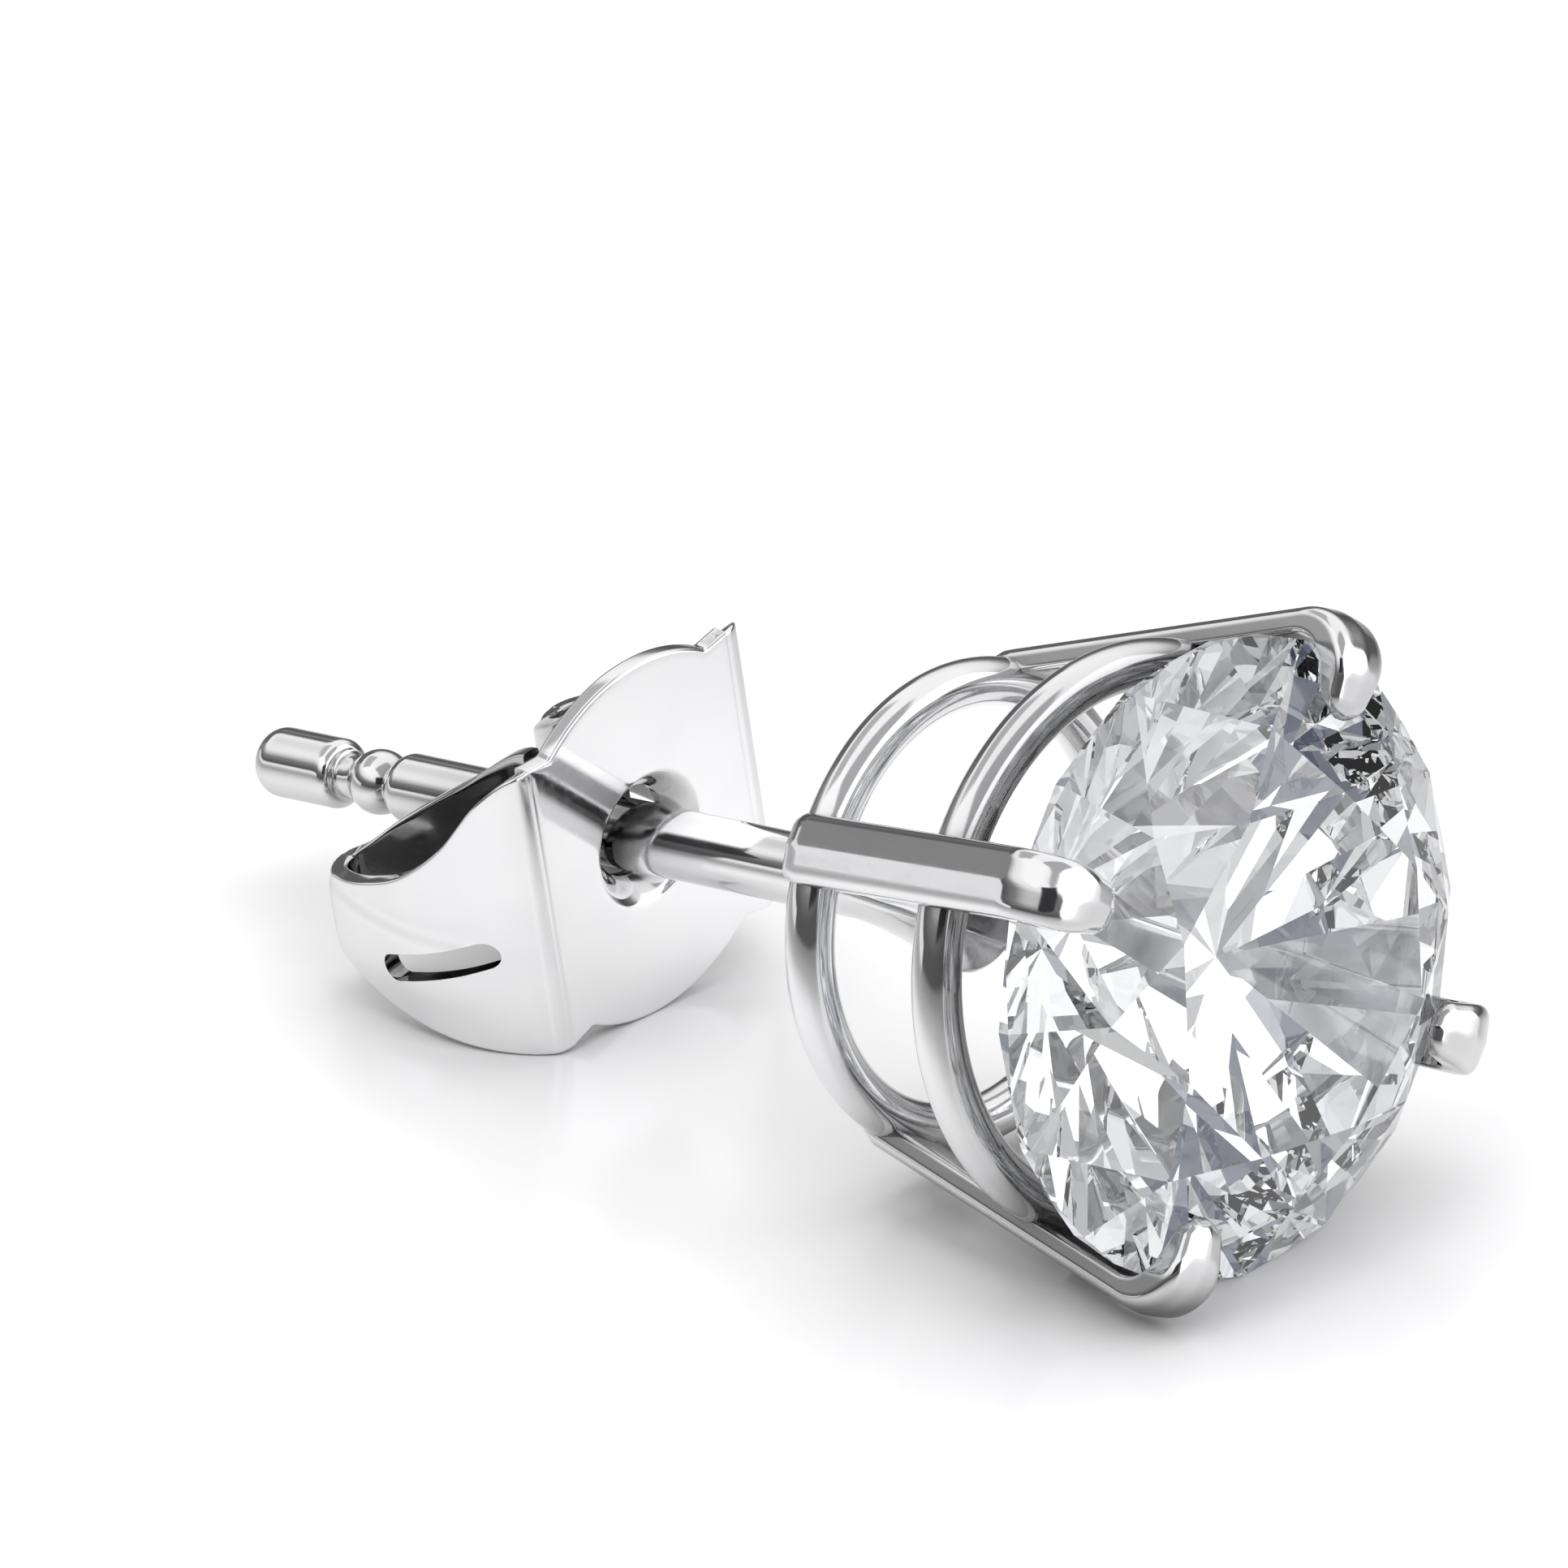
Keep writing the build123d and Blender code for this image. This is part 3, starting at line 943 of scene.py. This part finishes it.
    def plate(self) -> Shell:
        """The plate as one closed section swung round the hole: dish, front face, rounded rim, back
        face, collar and bore; the front and back stretch out to the outline at each angle.

        Returns:
            The closed shell.
        """
        angle, reach = self.outline()
        e, front, back = self.edge_round, self.proud, -self.sheet - self.proud
        dish = np.linspace(0, 1, 18)
        dish_r = self.hole_radius + (self.dish_radius - self.hole_radius) * dish
        sunk = 1 - ease(dish, self.dish_lip, 1.0)
        dish_x = front - (self.dish_depth + front) * sunk / sunk[0]
        waist, rise = self.collar_waist
        width, end = self.collar_end
        collar = arc_through(
            (self.collar_root, back), (waist, back - rise), (self.hole_radius + width, end), 10
        )
        lip, level = self.collar_lip
        edge = arc((self.hole_radius + lip, level), lip, 0, -180, 10)
        quarter = np.radians(np.linspace(0, 90, 7))
        span = np.linspace(0, 1, 16)[1:-1]
        limit = reach[:, None] - e

        def hub(values: Array) -> Array:
            """The same values at every angle."""
            return np.tile(values, (len(angle), 1))

        radius = np.hstack((
            hub(dish_r),
            self.dish_radius + (limit - self.dish_radius) * span,
            limit + e * np.sin(quarter),
            limit + e * np.cos(quarter),
            limit + (self.collar_root - limit) * span,
            hub(collar[:, 0]),
            hub(edge[:, 0]),
            hub(np.full(5, self.hole_radius)),
        ))
        depth = np.hstack((
            hub(dish_x),
            hub(front + 0 * span),
            hub(front - e + e * np.cos(quarter)),
            hub(back + e - e * np.sin(quarter)),
            hub(back + 0 * span),
            hub(collar[:, 1]),
            hub(edge[:, 1]),
            hub(np.linspace(*self.bore_run, 5)),
        ))
        across, up = radius * np.cos(angle)[:, None], radius * np.sin(angle)[:, None]
        return skin(np.stack((depth, across, up), -1), looped=True)

    def slot_punch(self) -> Shell:
        """Punch for one slot: a stadium outline carried straight through the flank.

        Returns:
            The closed shell of the far side's punch.
        """
        r = self.slot_height / 2
        reach = self.slot_length / 2 - r
        outline = np.vstack((arc((reach, 0), r, -90, 90, 20), arc((-reach, 0), r, 90, 270, 20)))
        droop = math.radians(self.slot_droop)
        turn = np.array(((math.cos(droop), math.sin(droop)), (-math.sin(droop), math.cos(droop))))
        side = outline @ turn + (-self.slot_depth, self.slot_level)
        far = np.linspace(self.fold_start - self.slot_height, self.plate_radius + self.fold_start, 2)
        x, z = (np.tile(side[:, k], (2, 1)) for k in range(2))
        return skin(np.stack((x, far[:, None] + 0 * x, z), -1))

    def build(self) -> bpy.types.Object:
        """Solder the plate to the band, punch the slots and lay the clutch down.

        Returns:
            The finished piece.
        """
        body = self.band().to_object("butterfly_clutch")
        blank = np.array([(self.dish_radius - self.blank_inset, x) for x in self.blank_run])
        bore = turned(blank, 64)
        bore.vertices = bore.vertices[:, [2, 0, 1]]
        work(body, bore.to_object("bore"), Joinery.PIERCE)
        work(body, self.plate().to_object("plate"), Joinery.SOLDER)
        punch = self.slot_punch()
        for side in (1, -1):
            swung = Shell(punch.vertices * (1, side, 1), punch.quads, punch.triangles)
            work(body, swung.to_object("slot"), Joinery.PIERCE)
        self.lie.lay(body, sharp=CREASE)
        return body


# The set


@dataclass(frozen=True)
class Card:
    """A flat card hung round the set, seen in the polish or only through the stone: where it hangs, its
    half sizes as tangents of the angle it covers, how soft its edge is and how bright it shows."""

    azimuth: float
    elevation: float
    half_width: float
    half_height: float
    feather: float
    colour: tuple[float, float, float]
    in_stone: bool = False


def bearing(azimuth: float, elevation: float) -> Vector:
    """Unit vector towards an azimuth and an elevation: the sines and cosines of both.

    Args:
        azimuth: in degrees, 0 at the front and 90 at the stone's end.
        elevation: in degrees above the table.

    Returns:
        The unit vector.
    """
    a, e = math.radians(azimuth), math.radians(elevation)
    return Vector((math.sin(a) * math.cos(e), -math.cos(a) * math.cos(e), math.sin(e)))


@dataclass
class Studio:
    """Table, soft light and camera."""

    table_half: float = 80.0
    camera_azimuth: float = 42.84
    camera_elevation: float = 25.2
    camera_distance: float = 259.0
    lens: float = 480.0
    bounces: int = 24
    clamp: float = 6.0
    sky: tuple[Pair, ...] = (
        (0.0, 0.30), (0.47, 0.30), (0.50, 0.09), (0.58, 0.10), (0.66, 0.22), (0.74, 0.85), (0.84, 1.00),
        (1.0, 0.95),
    )
    lamp_gain: float = 2.8
    stone_fill: float = 0.6
    fill_tone: float = 0.85
    cards: tuple[Card, ...] = (
        Card(-25.0, 54.0, 0.55, 0.22, 0.10, (1.05, 1.05, 1.05)),
        Card(80.0, 64.0, 0.42, 0.32, 0.12, (0.42, 0.42, 0.43)),
        Card(-108.0, 22.0, 0.30, 0.09, 0.05, (0.11, 0.11, 0.115)),
        Card(-86.0, 52.0, 0.30, 0.17, 0.14, (0.46, 0.46, 0.465)),
        Card(-84.0, 11.0, 0.25, 0.11, 0.02, (0.24, 0.24, 0.24)),
        Card(-60.0, -2.5, 0.60, 0.12, 0.02, (0.80, 0.80, 0.81)),
        Card(110.0, 22.0, 0.78, 0.50, 0.12, (1.35, 1.35, 1.37)),
        Card(43.0, 27.0, 0.24, 0.20, 0.06, (0.035, 0.035, 0.037)),
        Card(50.0, 24.0, 0.34, 0.26, 0.04, (0.075, 0.09, 0.14), in_stone=True),
    )

    def card_mask(self) -> bpy.types.NodeTree:
        """World group: the direction's tangents across and up a card, each cut off softly at the
        card's half size, and nothing behind it.

        Returns:
            The group, with the output Mask.
        """
        group = bpy.data.node_groups.new("card_mask", "ShaderNodeTree")
        for label in ("Direction", "Facing", "Right", "Up"):
            group.interface.new_socket(label, in_out="INPUT", socket_type="NodeSocketVector")
        for label in ("Half Width", "Half Height", "Feather"):
            group.interface.new_socket(label, in_out="INPUT", socket_type="NodeSocketFloat")
        group.interface.new_socket("Mask", in_out="OUTPUT", socket_type="NodeSocketFloat")
        w = Wiring(group)
        given = w.add("NodeGroupInput").outputs

        def along(axis: str) -> bpy.types.NodeSocket:
            """Dot product of the direction with one of the card's axes."""
            dot = w.add("ShaderNodeVectorMath", operation="DOT_PRODUCT")
            return w.feed(dot, i0=given["Direction"], i1=given[axis]).outputs["Value"]

        ahead = w.math("MAXIMUM", along("Facing"), 0.001)
        masks = []
        for axis, size in (("Right", "Half Width"), ("Up", "Half Height")):
            tangent = w.math("ABSOLUTE", w.math("DIVIDE", along(axis), ahead))
            over = w.math("DIVIDE", w.math("SUBTRACT", tangent, given[size]), given["Feather"])
            masks.append(w.remap(over, 0.0, 1.0, 1.0, 0.0))
        w.feed(w.add("NodeGroupOutput"), Mask=w.math("MULTIPLY", *masks))
        return group

    def light(self) -> None:
        """Sky that brightens with height, hung with cards; plain white where the camera sees it. Matt
        surfaces get it multiplied by height and the lamp's gain, as from a large lamp overhead, and
        rays that leave the stone get it mixed towards an even tone."""
        world = bpy.data.worlds.new("soft_studio")
        bpy.context.scene.world = world
        world.use_nodes = True
        w = Wiring(world.node_tree)
        background = world.node_tree.nodes["Background"]
        output = world.node_tree.nodes["World Output"]
        direction = w.add("ShaderNodeTexCoord").outputs["Generated"]
        height = w.feed(w.add("ShaderNodeSeparateXYZ"), i0=direction).outputs["Z"]
        share = w.math("MULTIPLY_ADD", height, 0.5, 0.5)
        ramp = w.feed(w.add("ShaderNodeValToRGB"), i0=share)
        stops = ramp.color_ramp.elements
        for index, (place, value) in enumerate(self.sky):
            stop = stops[index] if index < 2 else stops.new(place)
            stop.position, stop.color = place, (value, value, value, 1)
        path = w.add("ShaderNodeLightPath").outputs
        leaving = path["Is Transmission Ray"]
        through = w.math("MULTIPLY", leaving, self.stone_fill)
        colour = w.blend(through, ramp.outputs[0], (self.fill_tone, self.fill_tone, self.fill_tone, 1))
        group = self.card_mask()
        for card in self.cards:
            facing = bearing(card.azimuth, card.elevation)
            right = facing.cross(Vector((0, 0, 1))).normalized()
            mask = w.add("ShaderNodeGroup", node_tree=group)
            w.feed(mask, Direction=direction, Facing=facing, Right=right, Up=right.cross(facing))
            w.feed(mask, Half_Width=card.half_width, Half_Height=card.half_height, Feather=card.feather)
            cover = mask.outputs[0]
            if card.in_stone:
                cover = w.math("MULTIPLY", cover, leaving)
            colour = w.blend(cover, colour, (*card.colour, 1))
        lift = w.math("MULTIPLY_ADD", w.math("MAXIMUM", height, 0.0), self.lamp_gain, -1.0)
        strength = w.math("MULTIPLY_ADD", path["Is Diffuse Ray"], lift, 1.0)
        w.feed(background, Color=colour, Strength=strength)
        plain = w.feed(w.add("ShaderNodeBackground"), Color=(1, 1, 1, 1))
        seen = path["Is Camera Ray"]
        mix = w.add("ShaderNodeMixShader")
        w.feed(mix, i0=seen, i1=background.outputs[0], i2=plain.outputs[0])
        w.feed(output, Surface=mix.outputs[0])

    def table(self, finish: TableTop) -> None:
        """Lay a square table top at height zero, under the object.

        Args:
            finish: of the table.
        """
        half = self.table_half
        corners = [(-half, -half, 0), (half, -half, 0), (half, half, 0), (-half, half, 0)]
        mesh = bpy.data.meshes.new("table_top")
        mesh.from_pydata([tuple(c * MM for c in corner) for corner in corners], [], [(0, 1, 2, 3)])
        top = bpy.data.objects.new("table_top", mesh)
        bpy.context.scene.collection.objects.link(top)
        mesh.materials.append(finish.material())

    def camera(self) -> None:
        """Aim a long lens at the middle of the object."""
        low, high = (Vector(corner) for corner in CAD_BOX)
        middle = (low + high) / 2
        back = bearing(self.camera_azimuth, self.camera_elevation)
        data = bpy.data.cameras.new("camera")
        data.lens, data.clip_start, data.clip_end = self.lens, 0.001, 10
        made = bpy.data.objects.new("camera", data)
        made.location = middle + back * self.camera_distance * MM
        made.rotation_mode = "QUATERNION"
        made.rotation_quaternion = (-back).to_track_quat("-Z", "Y")
        bpy.context.scene.collection.objects.link(made)
        bpy.context.scene.camera = made

    def build(self) -> None:
        """Set the table, the light, the camera and how far light is followed."""
        self.table(TableTop())
        self.light()
        self.camera()
        scene = bpy.context.scene
        scene.view_settings.view_transform = "Standard"
        scene.cycles.max_bounces = self.bounces
        scene.cycles.transmission_bounces = self.bounces
        scene.cycles.glossy_bounces = self.bounces
        scene.cycles.sample_clamp_indirect = self.clamp


def lies(record: dict, tip_to_girdle: float, girdle_to_plate: float, turns: Pair) -> tuple[Lie, Lie]:
    """How the stud and the clutch lie, from the slide joint's axis and the pin mount on the post's tip.

    Args:
        record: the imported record.
        tip_to_girdle: from the middle of the pin mount to the girdle's middle, along the post.
        girdle_to_plate: from the girdle's middle back to the plate's front face.
        turns: turn of the basket about the post, and of the clutch about the plate's normal.

    Returns:
        The basket's and the clutch's lie.
    """
    along = np.asarray(record["behaviour"]["joints"][0]["axis"], float)
    along /= np.linalg.norm(along)
    tip = next(mount for mount in record["mounts"] if mount["name"] == "post_end")
    girdle = np.asarray(tip["pos_m"], float) / MM + tip_to_girdle * along
    up = np.array((-along[2], 0.0, along[0]))
    near = np.cross(along, up)
    basket, roll = (math.radians(turn) for turn in turns)
    first = math.cos(basket) * up + math.sin(basket) * near
    stud = Lie(girdle, np.array((first, np.cross(along, first), along)))
    plate = girdle - girdle_to_plate * along
    far = np.array((0.0, math.cos(roll), math.sin(roll)))
    over = np.array((0.0, -math.sin(roll), math.cos(roll)))
    return stud, Lie(plate, np.array(((1.0, 0.0, 0.0), far, over)))


def main() -> None:
    """Build the earring piece by piece, then the set, and log how many faces the pieces have."""
    logging.basicConfig(level=logging.INFO, format="%(name)s: %(message)s")
    marks = polish_marks()
    stud, plate = lies(frame["record"], tip_to_girdle=15.66, girdle_to_plate=9.76, turns=(-31.6, 10.7343))

    stone = frame["nodes"]["stone"]
    stone.data.materials.clear()
    stone.data.materials.append(ClearStone().material())
    log.info("stone: %d triangles of flat facets, kept from the CAD model", len(stone.data.polygons))

    setting = Setting(stud).build()
    # The setting's painted shade is cast by every surface near it, the table and the stone too.
    setting.data.materials.append(WhiteMetal("polished_setting").material(marks))
    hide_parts("setting")
    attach(setting, "stud")
    log.info("%s: %d faces", setting.name, len(setting.data.polygons))

    clutch = Clutch(plate).build()
    # The clutch's painted shade reaches further and is cast by its own surfaces only.
    sheet = WhiteMetal(
        "polished_clutch", shade_reach=0.0045, shade_span=(0.42, 0.94), shade_from_self_only=True
    )
    clutch.data.materials.append(sheet.material(marks))
    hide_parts("clutch")
    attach(clutch, "clutch")
    log.info("%s: %d faces", clutch.name, len(clutch.data.polygons))

    Studio().build()


if __name__ == "__main__":
    main()
